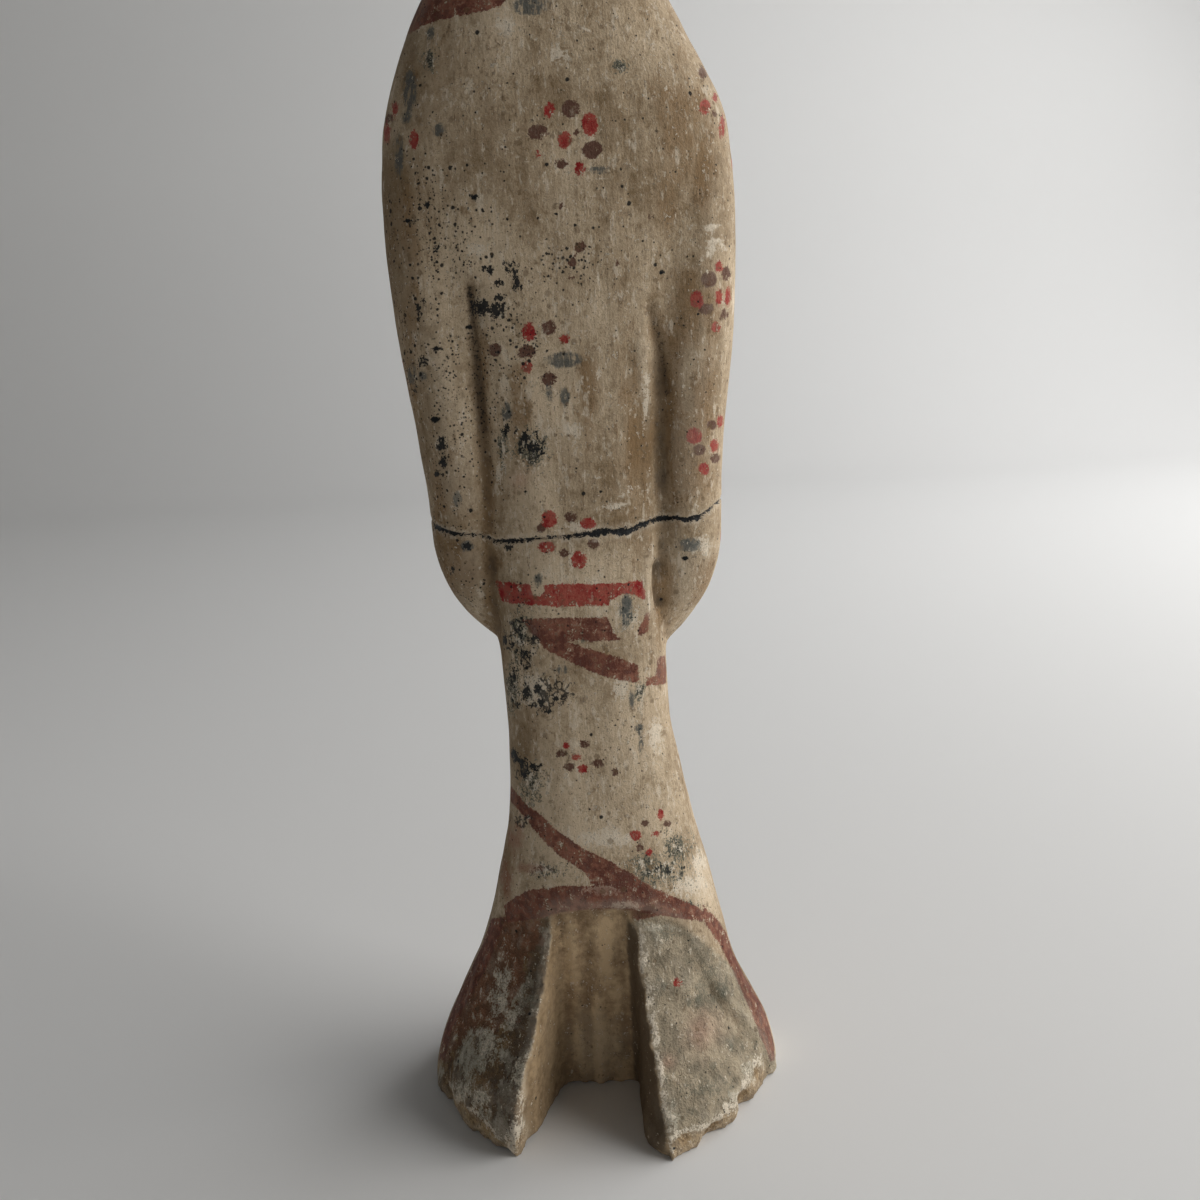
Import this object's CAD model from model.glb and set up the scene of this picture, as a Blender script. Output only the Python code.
"""Dress of the painted terracotta court lady: clay, carving, paint, wear and burial dirt."""

import math

import bpy
import numpy as np
from mathutils import Matrix, Vector


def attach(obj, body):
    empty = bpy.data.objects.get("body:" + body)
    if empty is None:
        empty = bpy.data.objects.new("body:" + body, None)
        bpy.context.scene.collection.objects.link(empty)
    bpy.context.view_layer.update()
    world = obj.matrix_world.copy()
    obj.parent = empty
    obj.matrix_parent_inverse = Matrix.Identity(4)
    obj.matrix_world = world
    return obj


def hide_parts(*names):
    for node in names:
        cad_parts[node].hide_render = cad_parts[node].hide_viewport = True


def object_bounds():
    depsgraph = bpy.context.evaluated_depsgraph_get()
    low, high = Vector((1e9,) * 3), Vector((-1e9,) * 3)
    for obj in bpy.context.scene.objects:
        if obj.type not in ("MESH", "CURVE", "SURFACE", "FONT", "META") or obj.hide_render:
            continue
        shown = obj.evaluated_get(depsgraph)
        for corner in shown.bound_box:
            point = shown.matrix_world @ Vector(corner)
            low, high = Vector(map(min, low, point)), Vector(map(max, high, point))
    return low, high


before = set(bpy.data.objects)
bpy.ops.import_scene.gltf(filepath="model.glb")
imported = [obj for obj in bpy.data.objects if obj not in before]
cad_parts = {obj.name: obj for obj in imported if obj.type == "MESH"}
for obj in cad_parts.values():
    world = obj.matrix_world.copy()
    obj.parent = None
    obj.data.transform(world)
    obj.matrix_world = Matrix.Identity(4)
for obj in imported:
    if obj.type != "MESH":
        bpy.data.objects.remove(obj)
solid_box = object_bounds()


# The body of the lady is one piece of low-fired clay, pressed in moulds and joined while wet.
# Its skin follows the solid, rounded between the sharp edges and laid again as a fine even grid,
# finer still over the face and along the old break.
MM = 1000
SEAM_GAP = 0.00002
CLAY_GRAIN = 0.00153
SHARP_EDGE = math.radians(38)
SKIN_SOFTENING = 4
FACE_BOX = ((-24, -40, 417), (24, -8, 476))
EYES_BOX = ((-17, -40, 447), (17, -12, 463.5))
MOUTH_BOX = ((-7, -40, 429), (7, -12, 437.5))
BREAK_BOX = ((-70, -60, 208), (70, 40, 220.5))

bpy.ops.object.select_all(action="DESELECT")
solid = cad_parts["court_lady_figure"]
lady = solid.copy()
lady.data = solid.data.copy()
lady.name = lady.data.name = "court_lady_clay"
lady.parent = None
lady.matrix_world = Matrix.Identity(4)
bpy.context.scene.collection.objects.link(lady)
lady.select_set(True)
bpy.context.view_layer.objects.active = lady


def shape(kind, **settings):
    """Adds a modifier to the lady and applies it."""
    modifier = lady.modifiers.new(kind.lower(), kind)
    for name, value in settings.items():
        setattr(modifier, name, value)
    bpy.ops.object.modifier_apply(modifier=modifier.name)


def read_rows(parts, name):
    """One vector of every part of the mesh, a row for each."""
    flat = np.empty(len(parts) * 3, np.float32)
    parts.foreach_get(name, flat)
    return flat.reshape(-1, 3).astype(float)


def skin_places():
    """Every point of the skin, in millimetres."""
    return read_rows(lady.data.vertices, "co") * MM


def skin_normals():
    """The way out of the clay at every point of the skin."""
    return read_rows(lady.data.vertex_normals, "vector")


def lay_skin(places):
    """Moves every point of the skin to its own place, in millimetres."""
    lady.data.vertices.foreach_set("co", (places / MM).astype(np.float32).ravel())
    lady.data.update()


def edit(on):
    """Goes into the mesh to shape its parts, or comes out again."""
    bpy.ops.object.mode_set(mode="EDIT" if on else "OBJECT")


def refine(box):
    """Cuts the faces whose middles lie in a box into four."""
    middle = read_rows(lady.data.polygons, "center") * MM
    picked = np.all((middle > box[0]) & (middle < box[1]), axis=1)
    edit(True)
    bpy.ops.mesh.select_mode(type="FACE")
    bpy.ops.mesh.select_all(action="DESELECT")
    edit(False)
    lady.data.polygons.foreach_set("select", picked)
    edit(True)
    bpy.ops.mesh.subdivide(number_cuts=1)
    edit(False)


edit(True)
bpy.ops.mesh.select_all(action="SELECT")
bpy.ops.mesh.remove_doubles(threshold=SEAM_GAP)
bpy.ops.mesh.select_mode(type="EDGE")
bpy.ops.mesh.select_all(action="DESELECT")
bpy.ops.mesh.edges_select_sharp(sharpness=SHARP_EDGE)
bpy.ops.transform.edge_crease(value=1.0)
edit(False)
shape("SUBSURF", levels=1, render_levels=1)
shape("REMESH", mode="VOXEL", voxel_size=CLAY_GRAIN)
shape("SMOOTH", factor=0.5, iterations=SKIN_SOFTENING)

for box in (FACE_BOX, BREAK_BOX, EYES_BOX, MOUTH_BOX):
    refine(box)


# The clay was modelled by hand while leather-hard: pressed and pared in long strokes, with soft
# lumps where a thumb went over it. The sleeves hang in folds at the front, meeting at her cuffs,
# and the left lapel is lapped over the right in a low step.
LUMPS = ((34, 0.34), (13, 0.20), (5.5, 0.075))
PARING = ((2.4, 34, 0.085), (5.5, 60, 0.11))
SLEEVE_FOLDS = ((200, 9), (186, 16), (170, 24))
FOLD_DEPTH = 0.9
FOLD_MIDDLE = 22
FOLD_WIDTH = 4.2
GROOVE_BELOW = 6.5
GROOVE_WIDTH = 3.0
GROOVE_DEPTH = 0.8
LAPEL_LINE = ((-2, 346), (-12, 322), (-24, 290), (-30, 262))
LEFT_COLLAR = ((-2, 346), (3, 356), (16, 397))
RIGHT_COLLAR = ((0, 348), (-4, 356), (-16, 397))
LAPEL_WIDTH = 7.5
LAPEL_STEP = 0.55
CUFF_MIDDLE = 3.0
CUFF_WIDTH = 8.0
CUFF_STEP = 0.45
CLEFT_WIDTH = 1.5
CLEFT_DEPTH = 1.6
STEP_ROUNDING = 1.2
HEAD_CALM = 0.85
TURN = np.array(Matrix.Rotation(0.61, 3, "X") @ Matrix.Rotation(0.83, 3, "Y"))

# Where a form sets in: nothing of it at the first millimetre given, and all of it at the second.
FRONT_FROM = (4, 14)
HEAD_FROM = (416, 420)
LAPEL_FOOT = (266, 272)
SLEEVE_FRONT = (26, 31)
SLEEVE_FOOT = (150, 156)
SLEEVE_TOP = (268, 262)


def mottle(at, size, seed=0):
    """Smooth unevenness from -1 to 1, in patches of about a size in millimetres."""
    cell = at @ TURN / size + 31.7 * seed
    low = np.floor(cell).astype(np.int64)
    t = cell - low
    t = t * t * t * (t * (t * 6 - 15) + 10)
    total = np.zeros(len(at))
    for corner in np.ndindex(2, 2, 2):
        weight = np.prod(np.where(corner, t, 1 - t), axis=1)
        i, j, k = (low + corner).T
        mixed = (i * 374761393 + j * 668265263 + k * 1442695041 + seed * 974711) & 0xFFFFFFFF
        mixed = ((mixed ^ (mixed >> 13)) * 1274126177) & 0xFFFFFFFF
        total += weight * ((mixed ^ (mixed >> 16)) & 0xFFFF)
    return total / 32767.5 - 1


def bump(distance, width):
    """One in the middle and nothing past about twice a width."""
    return np.exp(-((distance / width) ** 2))


def ease(value, start, end):
    """Nothing at the start, one at the end, with a soft change between."""
    t = np.clip((value - start) / (end - start), 0, 1)
    return t * t * (3 - 2 * t)


def push(amount):
    """Moves every point of the skin out by its own millimetres, or in where they are negative."""
    lay_skin(skin_places() + skin_normals() * amount[:, None])


def line_distance(at, line):
    """Distance of every point from a line of straight stretches, in two or three dimensions."""
    nearest = np.full(len(at), 1e9)
    line = np.array(line, float)
    for start, end in zip(line, line[1:]):
        stretch = end - start
        share = np.clip((at - start) @ stretch / (stretch @ stretch), 0, 1)
        away = at - start - share[:, None] * stretch
        nearest = np.minimum(nearest, np.linalg.norm(away, axis=1))
    return nearest


at = skin_places()
out = skin_normals()
x, y, z = at.T
on_front = ease(-y, *FRONT_FROM)
on_head = ease(z, *HEAD_FROM)

relief = sum(high * mottle(at, size, i) for i, (size, high) in enumerate(LUMPS))
for i, (size, length, high) in enumerate(PARING):
    relief += high * mottle(at * (1, 1, size / length), size, 20 + i)
relief *= 1 - HEAD_CALM * on_head

face_on = at[:, [0, 2]]
lapel = line_distance(face_on, LAPEL_LINE)
lapel = np.where(z > 300, np.minimum(lapel, line_distance(face_on, LEFT_COLLAR)), lapel)
lapped = ease(lapel, LAPEL_WIDTH, LAPEL_WIDTH - STEP_ROUNDING) * ease(z, *LAPEL_FOOT)
relief += LAPEL_STEP * lapped * on_front

on_sleeve = ease(-y, *SLEEVE_FRONT) * ease(z, *SLEEVE_FOOT) * ease(z, *SLEEVE_TOP)
cuff = np.abs(np.abs(x) - CUFF_MIDDLE)
relief += CUFF_STEP * ease(cuff, CUFF_WIDTH, CUFF_WIDTH - STEP_ROUNDING) * on_sleeve
relief -= CLEFT_DEPTH * bump(x, CLEFT_WIDTH) * on_sleeve
for level, sag in SLEEVE_FOLDS:
    hang = level - sag * (1 - (np.abs(x) / FOLD_MIDDLE - 1) ** 2) + 2 * mottle(at, 40, 41)
    away = z - hang
    fold = bump(away, FOLD_WIDTH) - GROOVE_DEPTH * bump(away + GROOVE_BELOW, GROOVE_WIDTH)
    relief += FOLD_DEPTH * fold * on_sleeve * ease(np.abs(x), 12, FOLD_MIDDLE)
push(relief)


# The photograph looks at her back from close by and a little above, tilted down and slightly
# turned. What is painted on her back is placed by that view, in the photograph's own pixels.
PHOTO_SIZE = 1200
VIEW_DEG = 50.0
EYE = np.array([-6.7, 440.0, 293.7])
PITCH = math.radians(14.0)
ROLL = math.radians(3.0)
FOCAL = PHOTO_SIZE / 2 / math.tan(math.radians(VIEW_DEG / 2))

FORWARD = np.array([0.0, -math.cos(PITCH), -math.sin(PITCH)])
LEVEL_UP = np.array([0.0, -math.sin(PITCH), math.cos(PITCH)])
LEVEL_RIGHT = np.array([-1.0, 0.0, 0.0])
RIGHT = math.cos(ROLL) * LEVEL_RIGHT - math.sin(ROLL) * LEVEL_UP
UP = math.sin(ROLL) * LEVEL_RIGHT + math.cos(ROLL) * LEVEL_UP


def seen_from_eye(at):
    """Where points fall in the photograph, in pixels, and how many millimetres each pixel is."""
    ray = at - EYE
    depth = ray @ FORWARD
    half = PHOTO_SIZE / 2
    across = half + FOCAL * (ray @ RIGHT) / depth
    down = half - FOCAL * (ray @ UP) / depth
    return np.stack([across, down], axis=1), depth / FOCAL


def survey():
    """Every point of the skin: its place and way out, its place in the photograph, how many
    millimetres a pixel is there, and how squarely it faces the eye."""
    at = skin_places()
    out = skin_normals()
    spot, pixel = seen_from_eye(at)
    to_eye = EYE - at
    facing = np.sum(out * to_eye, axis=1) / np.linalg.norm(to_eye, axis=1)
    return at, out, spot, pixel, facing


camera = bpy.data.objects.new("back_view", bpy.data.cameras.new("back_view"))
camera.matrix_world = Matrix((Vector(RIGHT), Vector(UP), Vector(-FORWARD))).transposed().to_4x4()
camera.location = Vector(EYE / MM)
camera.data.sensor_width = 36
camera.data.lens = camera.data.sensor_width / 2 / math.tan(math.radians(VIEW_DEG / 2))
camera.data.clip_start = 0.01
bpy.context.scene.collection.objects.link(camera)
bpy.context.scene.camera = camera


# Two long hollows were carved down her back where the sleeves hang from the arms. The left one
# starts as a narrow cut and widens into a valley. Along the right one stands a rounded ridge that
# ends at a pit.
LEFT_CREASE = ((470, 290), (475, 340), (479, 400), (484, 460), (488, 520), (491, 570), (494, 628))
RIGHT_CREASE = (
    (651, 306), (656, 335), (661, 375), (664, 420), (663, 470), (662, 520), (661, 565), (661, 600),
    (664, 640))
RIGHT_RIDGE = ((641, 345), (648, 420), (651, 500), (650, 570), (648, 610))
RIGHT_PIT = ((657, 566), (656, 584), (661, 604))
LEFT_CUT = ((469, 286), (472, 312), (476, 350), (480, 392), (484, 430))
RIGHT_CUT = ((651, 308), (655, 326), (661, 352), (667, 392))

# Each line with its height in millimetres, which is negative in a hollow, and its width.
CARVED_LINES = ((LEFT_CREASE, -0.75, 6.5), (LEFT_CUT, -0.55, 3.6), (RIGHT_CREASE, -0.75, 8.0),
                (RIGHT_CUT, -0.35, 4.0), (RIGHT_RIDGE, 0.75, 7.0), (RIGHT_PIT, -1.6, 5.0))

at, out, spot, pixel, facing = survey()
carved = np.zeros(len(at))
for line, high, wide in CARVED_LINES:
    carved += high * bump(line_distance(spot, line), wide)
push(carved * ease(facing, 0.02, 0.16))


# An old break runs right round the sleeves and the body. It was glued, and the joint stands open
# in places, filled with black.
BREAK_LINE = (
    (429, 520), (435, 527), (447, 532), (462, 535), (477, 535), (486, 536), (494, 541), (500, 541),
    (515, 541), (535, 539), (560, 537), (590, 534), (602, 532), (620, 532), (632, 530), (645, 524),
    (657, 519), (672, 518), (687, 520), (700, 517), (712, 508), (722, 499))
BREAK_WIDTH = (
    (429, 3.2), (447, 3.2), (462, 1.2), (486, 1.0), (500, 2.6), (515, 3.6), (530, 2.4), (545, 2.0),
    (570, 2.4), (588, 3.4), (600, 8.5), (612, 3.6), (622, 7.0), (630, 3.8), (640, 6.0), (650, 3.6),
    (660, 4.4), (672, 2.8), (690, 3.8), (702, 2.0), (722, 1.8))
BREAK_DEPTH = 1.0
BREAK_LEVEL = 214
FINEST_BREAK = 0.45
FRONT_SLANT = 1.1
FRONT_BREAK = (
    (-180, 214.5), (-165, 216.5), (-150, 213.5), (-138, 215.0), (-120, 217.5), (-100, 216.5),
    (-88, 217.6))


def along(pairs, where):
    """A value that changes in straight stretches along something."""
    return np.interp(where, *np.array(pairs, float).T)


at, out, spot, pixel, facing = survey()
x, y, z = at.T
back_break = (along(BREAK_LINE, spot[:, 0]) - spot[:, 1]) * pixel
back_width = along(BREAK_WIDTH, spot[:, 0]) / 2 * pixel
around = np.degrees(np.arctan2(x, y))
front_level = along(FRONT_BREAK, -np.abs(around))
front_level -= FRONT_SLANT * np.sign(x) * ease(np.abs(around), 175, 120)
front_break = z - front_level - 0.5 * mottle(at, 7, 51)
front_width = FINEST_BREAK + 0.25 * mottle(at, 16, 52)
on_back = np.abs(around) < 90
break_gap = np.where(on_back, back_break, front_break)
break_width = np.where(on_back, back_width, front_width)
near_break = ease(np.abs(z - BREAK_LEVEL), 14, 10)
open_break = bump(break_gap, np.maximum(break_width, FINEST_BREAK) * 1.1)
push(-BREAK_DEPTH * open_break * near_break)


# Below the arch of her back hem the skirt parts into two tails, with a fluted wall of bare clay
# between them. Their faces are rough and weathered, and their feet are old breaks.
ARCH_TOP = 81.0
ARCH_HALF = 66.0
ARCH_ROUNDING = 2.6
ARCH_LIP = (0.2, 1.6)
NOTCH_MIDDLE = 1.9
NOTCH_HALF = 13.75
NOTCH_FOOT = 14.2
NOTCH_TOP = 28.6
BREAK_EDGE = 7.0
LEFT_NOTCH_EDGE = (
    (563, 932), (556, 965), (549, 1000), (541, 1030), (530, 1075), (518, 1120), (511, 1148))
RIGHT_NOTCH_EDGE = ((637, 932), (642, 965), (647, 1000), (653, 1050), (661, 1100), (667, 1150))

at, out, spot, pixel, facing = survey()
x, y, z = at.T
arch = ARCH_TOP * (1 - np.clip(np.abs(x) / ARCH_HALF, 0, 1) ** ARCH_ROUNDING)
under = ease(arch - z, *ARCH_LIP) * ease(y, 4, 8)
wall = NOTCH_FOOT + (NOTCH_TOP - NOTCH_FOOT) * z / ARCH_TOP
in_notch = np.abs(x - NOTCH_MIDDLE)
recess = ease(in_notch, NOTCH_HALF + 1.5, NOTCH_HALF) * ease(y, wall + 3.5, wall + 1.5)
side_wall = ease(-out[:, 0] * np.sign(x - NOTCH_MIDDLE), 0.35, 0.7) * ease(in_notch, 30, 24)
bare = under * np.maximum(recess, side_wall)
tail = under * (1 - np.maximum(recess, side_wall))
ragged = BREAK_EDGE + 3.0 * mottle(at, 11, 61) + 1.6 * mottle(at, 4.5, 62)
foot_break = tail * ease(z, ragged + 1.2, ragged - 1.2) * ease(y, 14, 22)
foot_rim = tail * bump(z - ragged - 1.2, 1.6) * ease(y, 14, 22)
left_edge = line_distance(spot, LEFT_NOTCH_EDGE)
right_edge = line_distance(spot, RIGHT_NOTCH_EDGE)
edge_crumbs = np.maximum(bump(left_edge, 7), bump(right_edge, 8)) * tail
rough = (0.34 * mottle(at, 7.5, 63) + 0.30 * mottle(at, 3.6, 64)) * tail
rough += 0.85 * foot_break * mottle(at, 4.4, 65)
rough += np.maximum(bump(left_edge, 7), bump(right_edge, 7)) * under * mottle(at, 4.0, 69)
rough += bare * (0.75 * mottle(at * (1, 0.3, 0.09), 5.5, 66) + 0.15 * mottle(at, 3.5, 67))
push(rough)


# Her face is calm and smooth, pale with slip, with painted brows, eyes and lips. Her hair is
# black, parted in the middle, combed back from a slanted hairline and tied in a tress at the nape.
FACE_MIDDLE = 446
HAIRLINE_FRONT = (-24.0, 475.0)
HAIRLINE_NAPE = (6.0, 421.0)
NECKLINE = (
    (0, 371), (15, 381), (30, 391), (45, 399), (60, 404), (90, 406), (130, 403), (180, 400))
TRESS = (
    (394, 19.2, 5.2, 3.6), (404, 18.4, 8.8, 5.6), (415, 16.2, 8.4, 6.0), (426, 14.5, 11.2, 8.0),
    (436, 14.0, 13.5, 9.5), (447, 13.0, 14.0, 10.0))
TRESS_END = 392.4
TRESS_SWELL = 1.22
COMBED_BACK = (0.90, 0.43)
COMB_REACH = 22
FAR_OFF = 30
UPPER_LID = ((4.6, 451.2), (6.4, 452.9), (8.8, 453.7), (11.4, 453.3), (13.8, 451.9))
LOWER_LID = ((4.6, 451.2), (7.0, 450.5), (9.6, 450.3), (12.0, 450.8), (13.8, 451.9))
LID_FOLD = ((5.2, 453.6), (8.8, 455.3), (12.4, 454.7))
EYE_HEART = (9.3, 452.5, 1.75)
BROW = (
    (3.8, 459.2), (5.6, 460.2), (7.8, 460.9), (10.0, 461.0), (12.2, 460.6), (14.2, 459.7),
    (16.0, 458.4))
MOUTH_LINE = ((-4.6, 434.0), (-2.2, 433.7), (0, 433.9), (2.2, 433.7), (4.6, 434.0))
UPPER_LIP = ((-4.3, 434.1), (-1.4, 435.9), (0, 435.5), (1.4, 435.9), (4.3, 434.1), (0, 433.7))
LOWER_LIP = ((-4.0, 433.8), (0, 433.4), (4.0, 433.8), (2.2, 431.8), (0, 431.3), (-2.2, 431.8))


def outline_distance(at, outline):
    """Distance from a closed outline, negative inside it."""
    outline = np.array(outline, float)
    edge = line_distance(at, np.vstack([outline, outline[:1]]))
    inside = np.zeros(len(at), bool)
    for (ax, ay), (bx, by) in zip(outline, np.roll(outline, -1, axis=0)):
        if ay == by:
            continue
        spans = (ay > at[:, 1]) != (by > at[:, 1])
        crossing = ax + (at[:, 1] - ay) / (by - ay) * (bx - ax)
        inside ^= spans & (at[:, 0] < crossing)
    return np.where(inside, -edge, edge)


def keep(name, values):
    """Stores a value for every point of the skin, for the finish to read."""
    layer = lady.data.attributes.new(name, "FLOAT", "POINT")
    layer.data.foreach_set("value", values.astype(np.float32))


at = skin_places()
x, y, z = at.T
face_on = np.stack([np.abs(x), z], axis=1)
off_face = (ease(-y, 14, 10) + ease(np.abs(z - FACE_MIDDLE), 30, 34)) * FAR_OFF
upper_lid = line_distance(face_on, UPPER_LID) + off_face
lower_lid = line_distance(face_on, LOWER_LID) + off_face
mouth = line_distance(at[:, [0, 2]], MOUTH_LINE) + off_face
upper_lip = outline_distance(at[:, [0, 2]], UPPER_LIP) + off_face
lower_lip = outline_distance(at[:, [0, 2]], LOWER_LIP) + off_face
almond = outline_distance(face_on, UPPER_LID + LOWER_LID[1:-1][::-1]) + off_face
features = -0.32 * bump(line_distance(face_on, LID_FOLD) + off_face, 0.7)
features += 0.28 * bump(upper_lid - 0.5, 0.7) + 0.12 * bump(lower_lid, 0.6)
features -= 0.22 * ease(almond, 0.3, -0.4)
features -= 0.45 * bump(mouth, 0.55)
features += 0.28 * ease(upper_lip, 0.3, -0.7) + 0.38 * ease(lower_lip, 0.3, -0.9)
push(features)

behind_x, behind_z = HAIRLINE_NAPE[0] - HAIRLINE_FRONT[0], HAIRLINE_NAPE[1] - HAIRLINE_FRONT[1]
slant = math.hypot(behind_x, behind_z)
combed = ((y - HAIRLINE_FRONT[0]) * -behind_z + (z - HAIRLINE_FRONT[1]) * behind_x) / slant
tress_back, tress_wide, tress_deep = (
    along([(row[0], row[k]) for row in TRESS], z) for k in (1, 2, 3))
in_tress = (np.hypot(x / tress_wide, (y - tress_back) / tress_deep) - TRESS_SWELL) * 6
in_tress = np.maximum(in_tress, TRESS_END - z) + ease(z, 440, 444) * FAR_OFF
hair = np.minimum(np.where(z > 418, -combed, FAR_OFF), in_tress)
round_head = np.arctan2(x, (y + 1) * COMBED_BACK[0] + (z - 450) * COMBED_BACK[1]) * COMB_REACH
keep("hair", hair)
keep("comb", np.where(z < 416, x * 1.2, round_head))
from_front = np.degrees(np.arctan2(np.abs(x), 1 - y))
keep("skin", ease(z - along(NECKLINE, from_front), -0.5, 0.7))
keep("eye_line", np.minimum(upper_lid - 0.42, lower_lid - 0.12))
keep("eye_white", almond)
eye_heart = np.hypot(face_on[:, 0] - EYE_HEART[0], z - EYE_HEART[1]) - EYE_HEART[2]
keep("eye_heart", np.maximum(eye_heart, almond) + off_face)
keep("brow", line_distance(face_on, BROW) - 0.62 + 0.05 * np.abs(face_on[:, 0] - 8) + off_face)
keep("lips", np.minimum(upper_lip, lower_lip))
cheeks = bump(np.hypot((np.abs(x) - 13) / 1.2, z - 444), 7) * ease(-y, 8, 16)

# Nothing modelled on the clay stands out past its own height, width and depth.
lowest, highest = (np.array(corner) * MM for corner in solid_box)
lay_skin(np.clip(skin_places(), lowest, highest))


# She is painted in bands of red and maroon along the edges of her wrapped robe, in mineral
# colours laid over the dry slip. A band on her back is an outline in the photograph's pixels.
RED_BAND = (
    (496, 581), (530, 585), (560, 584), (600, 584), (622, 583), (642, 580), (646, 597), (640, 603),
    (628, 606), (606, 606), (560, 607), (530, 605), (502, 602))
BAND_LOSS = ((533, 580), (541, 583), (546, 589), (541, 597), (533, 596), (530, 588))
BAND_SPOT = (627, 613, 20, 19)
UPPER_WRAP = (
    (521, 619), (560, 618), (607, 617), (612, 630), (621, 640), (590, 641), (558, 638), (582, 647),
    (610, 655), (638, 664), (640, 683), (620, 681), (600, 675), (570, 662), (545, 649), (533, 634))
WRAP_EDGE = ((641, 611), (649, 613), (648, 632), (638, 636))
WRAP_END = ((657, 658), (667, 654), (666, 684), (646, 686), (645, 678), (657, 676))
LOWER_WRAP = (
    (506, 780), (517, 793), (526, 804), (541, 815), (561, 834), (586, 850), (612, 862), (632, 874),
    (650, 886), (675, 897), (700, 908), (712, 922), (690, 920), (660, 915), (640, 920), (612, 911),
    (596, 888), (584, 872), (560, 856), (541, 838), (524, 816), (512, 803), (500, 790))
HEM_BAND = (
    (504, 906), (515, 897), (530, 890), (560, 886), (600, 886), (625, 893), (655, 910), (640, 921),
    (612, 911), (585, 912), (560, 915), (540, 918), (507, 923))
RIGHT_HEM = (
    (703, 905), (716, 918), (730, 938), (745, 965), (760, 997), (773, 1030), (781, 1058),
    (771, 1062), (762, 1040), (750, 1010), (737, 980), (724, 952), (705, 922))
LEFT_HEM = (
    (507, 918), (498, 940), (484, 972), (468, 1000), (452, 1030), (444, 1060), (428, 1060),
    (436, 1035), (450, 1006), (468, 975), (482, 945), (492, 918))
LEFT_SMEAR = (
    (498, 912), (545, 914), (540, 940), (528, 965), (520, 990), (512, 1022), (497, 1035),
    (476, 1030), (462, 1042), (446, 1064), (432, 1060), (440, 1030), (460, 992), (480, 955))
COLLAR_BAND = (
    (380, -60), (510, -60), (505, 2), (497, 8), (470, 14), (440, 20), (421, 27), (400, 40))
FRONT_WRAP = (
    (64, 117), (80, 122), (110, 129), (140, 136), (180, 146), (220, 154), (250, 159), (292, 163))
FRONT_WRAP_WIDTH = 7.0
HEM_TOP = 15.0
HEM_FOOT = 5.0

at, out, spot, pixel, facing = survey()
x, y, z = at.T
hidden = ease(facing, 0.12, 0.02) * FAR_OFF
around = np.degrees(np.arctan2(x, y))

red = outline_distance(spot, RED_BAND) * pixel
red = np.maximum(red, -outline_distance(spot, BAND_LOSS) * pixel)
across, down, wide, tall = BAND_SPOT
bare_spot = (1 - np.hypot((spot[:, 0] - across) / wide, (spot[:, 1] - down) / tall)) * wide * pixel
red = np.maximum(red, bare_spot) + hidden
maroon = np.full(len(at), float(FAR_OFF))
for outline in (UPPER_WRAP, WRAP_EDGE, WRAP_END, LOWER_WRAP, HEM_BAND, RIGHT_HEM, LEFT_HEM,
                COLLAR_BAND):
    maroon = np.minimum(maroon, outline_distance(spot, outline) * pixel + hidden)
maroon = np.maximum(maroon, bare_spot - 0.6)
smear = outline_distance(spot, LEFT_SMEAR) * pixel + hidden

turn_round = np.where(around < 0, around + 360, around)
wrap = np.abs(z - along(FRONT_WRAP, turn_round)) - FRONT_WRAP_WIDTH / 2
wrap += ease(facing, -0.1, 0.12) * FAR_OFF
hem = np.maximum(z - HEM_TOP, HEM_FOOT - z) + ease(facing, -0.35, -0.2) * FAR_OFF
maroon = np.minimum(np.minimum(maroon, wrap), hem)

collar = np.min([line_distance(at[:, [0, 2]], edge)
                 for edge in (LAPEL_LINE, LEFT_COLLAR, RIGHT_COLLAR)], axis=0)
collar += (ease(-y, 10, 5) + ease(z, *SLEEVE_TOP) + ease(z, 404, 410)) * FAR_OFF
collar += 1 - LAPEL_WIDTH
maroon = np.minimum(maroon, collar)
cuffs = np.abs(np.abs(x) - CUFF_MIDDLE) - CUFF_WIDTH + STEP_ROUNDING
off_sleeve = ease(-y, *SLEEVE_FRONT[::-1]) + ease(z, *SLEEVE_TOP[::-1]) + ease(z, 153, 147)
cuffs += off_sleeve * FAR_OFF
red = np.minimum(red, cuffs)


# Rosettes of red and brown dots are scattered over the cloth, each dot one touch of a full brush.
# A dot is listed with its place in the photograph and its half sizes, all in pixels: those down
# the middle of the back first, then the shoulders, the right sleeve and the skirt.
RED_TOUCHES = (
    (549, 110, 5, 7), (590, 124, 7, 11), (580, 169, 5, 6), (539, 154, 3, 3.5), (565, 140, 6, 8),
    (529, 332, 6, 8), (565, 339, 5, 4.6), (527, 367, 5, 5.5), (549, 519, 7, 8), (588, 524, 7, 5),
    (547, 547, 8, 5), (579, 560, 7, 8), (387, 133, 3, 9), (395, 110, 2.5, 7), (414, 139, 4, 8),
    (705, 107, 5, 6.5), (722, 126, 2.6, 9), (715, 97, 2.2, 4), (697, 300, 6, 8),
    (719, 297, 3.5, 7), (728, 297, 2.6, 8), (716, 327, 4.4, 5), (719, 267, 3.2, 5),
    (694, 436, 7, 7.5), (714, 446, 4, 6), (704, 469, 5, 5.2), (720, 421, 3, 5), (576, 757, 5, 3),
    (582, 769, 5, 4), (566, 746, 4, 3), (661, 815, 3.2, 4.2), (636, 835, 5.2, 4.4),
    (655, 834, 3.4, 2.6), (649, 852, 3.4, 3.4), (678, 983, 4.5, 3.6))
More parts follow.
